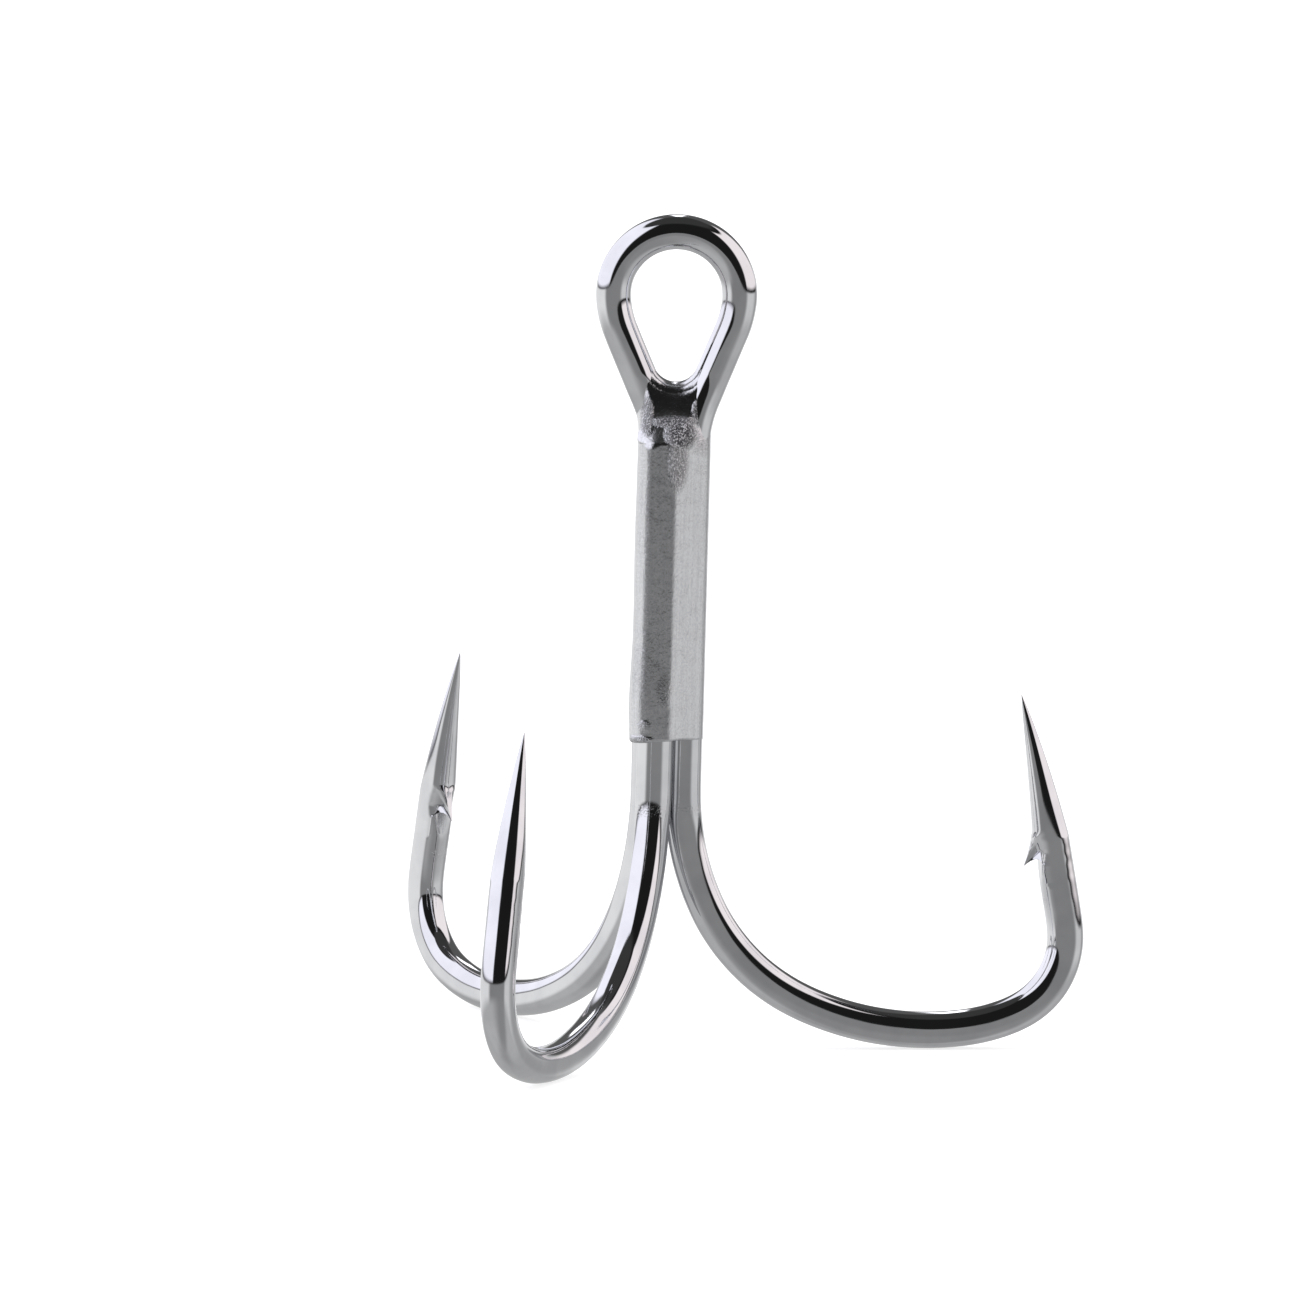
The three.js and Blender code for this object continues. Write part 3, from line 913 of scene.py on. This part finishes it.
def studio_floor(level):
    """A wide pale disc that the hook stands on."""
    rings, sides, reach = 24, 96, 3.0
    angle = np.linspace(0, 2 * math.pi, sides, endpoint=False)
    radii = reach * (np.arange(1, rings + 1) / rings) ** 2
    points = [
        (radius * math.cos(turn), radius * math.sin(turn), level) for radius in radii for turn in angle
    ]
    faces = [face[::-1] for face in tube_faces(rings, sides, True, False)]
    mesh = bpy.data.meshes.new("studio_floor")
    mesh.from_pydata(points, [], faces)
    mesh.shade_smooth()
    floor = bpy.data.objects.new("studio_floor", mesh)
    bpy.context.scene.collection.objects.link(floor)
    material = bpy.data.materials.new("pale_floor")
    material.use_nodes = True
    nodes = Nodes(material.node_tree)
    shader = nodes.add("ShaderNodeBsdfPrincipled")
    place = nodes.add("ShaderNodeTexCoord").outputs["Object"]
    tone = nodes.noise(place, 3.0, detail=4)
    nodes.feed(shader.inputs["Base Color"], nodes.mix(tone, (0.88, 0.88, 0.88, 1), (0.92, 0.92, 0.92, 1)))
    shader.inputs["Roughness"].default_value = 0.9
    shader.inputs["Specular IOR Level"].default_value = 0.0
    shader.inputs["Emission Color"].default_value = (1, 1, 1, 1)
    shader.inputs["Emission Strength"].default_value = 0.62
    output = nodes.add("ShaderNodeOutputMaterial")
    nodes.feed(output.inputs["Surface"], shader.outputs["BSDF"])
    mesh.materials.append(material)
    floor.visible_glossy = False


def studio_camera():
    """Looks straight through the eye from a little above, and leans over by a small roll."""
    toward = Vector((math.sin(CAMERA_AZIMUTH), -math.cos(CAMERA_AZIMUTH), 0)) * math.cos(CAMERA_ELEVATION)
    toward += Vector((0, 0, math.sin(CAMERA_ELEVATION)))
    level = Vector((math.cos(CAMERA_AZIMUTH), math.sin(CAMERA_AZIMUTH), 0))
    upright = toward.cross(level)
    across = level * math.cos(CAMERA_ROLL) + upright * math.sin(CAMERA_ROLL)
    over = toward.cross(across)
    aim = (across * -AIM_LEFT_OF_EYE + over * -AIM_BELOW_EYE) * MM
    camera_data = bpy.data.cameras.new("camera")
    camera_data.lens = CAMERA_LENS
    camera_data.sensor_width = 36
    camera_data.clip_start = 0.01
    camera_data.clip_end = 20
    camera = bpy.data.objects.new("camera", camera_data)
    camera.matrix_world = Matrix.Translation(aim + toward * CAMERA_DISTANCE * MM) @ Matrix(
        (across, over, toward)).transposed().to_4x4()
    bpy.context.scene.collection.objects.link(camera)
    bpy.context.scene.camera = camera


def soft_light(name, place, aim, size, power):
    light_data = bpy.data.lights.new(name, "AREA")
    light_data.shape = "DISK"
    light_data.size = size
    light_data.energy = power
    light = bpy.data.objects.new(name, light_data)
    light.location = place
    light.rotation_euler = (Vector(place) - Vector(aim)).to_track_quat("Z", "Y").to_euler()
    light.visible_glossy = False
    light.visible_camera = False
    bpy.context.scene.collection.objects.link(light)


# ---------------------------------------------------------------- build

bpy.context.scene.view_settings.view_transform = "Standard"

wire_finish = plated_wire_material()
braze_finish = plated_braze_material()

double = double_hook()
single = single_hook()
braze = braze_piece()

store_wear(double, forging_spots())
store_wear(single, forging_spots())
store_wear(braze, BRAZE_SAND)

for piece, finish, nodes_replaced in (
    (double, wire_finish, ["double_hook_wire"]),
    (single, wire_finish, ["single_hook_wire"]),
    (braze, braze_finish, [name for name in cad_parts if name.startswith("braze_")]),
):
    piece.data.materials.append(finish)
    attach(piece, "root")
    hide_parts(*nodes_replaced)

studio_world()
studio_floor(cad_box[0].z)
studio_camera()
soft_light("overhead_softbox", (0.3, 0.2, 1.6), (0, 0, -0.02), 1.4, 8)
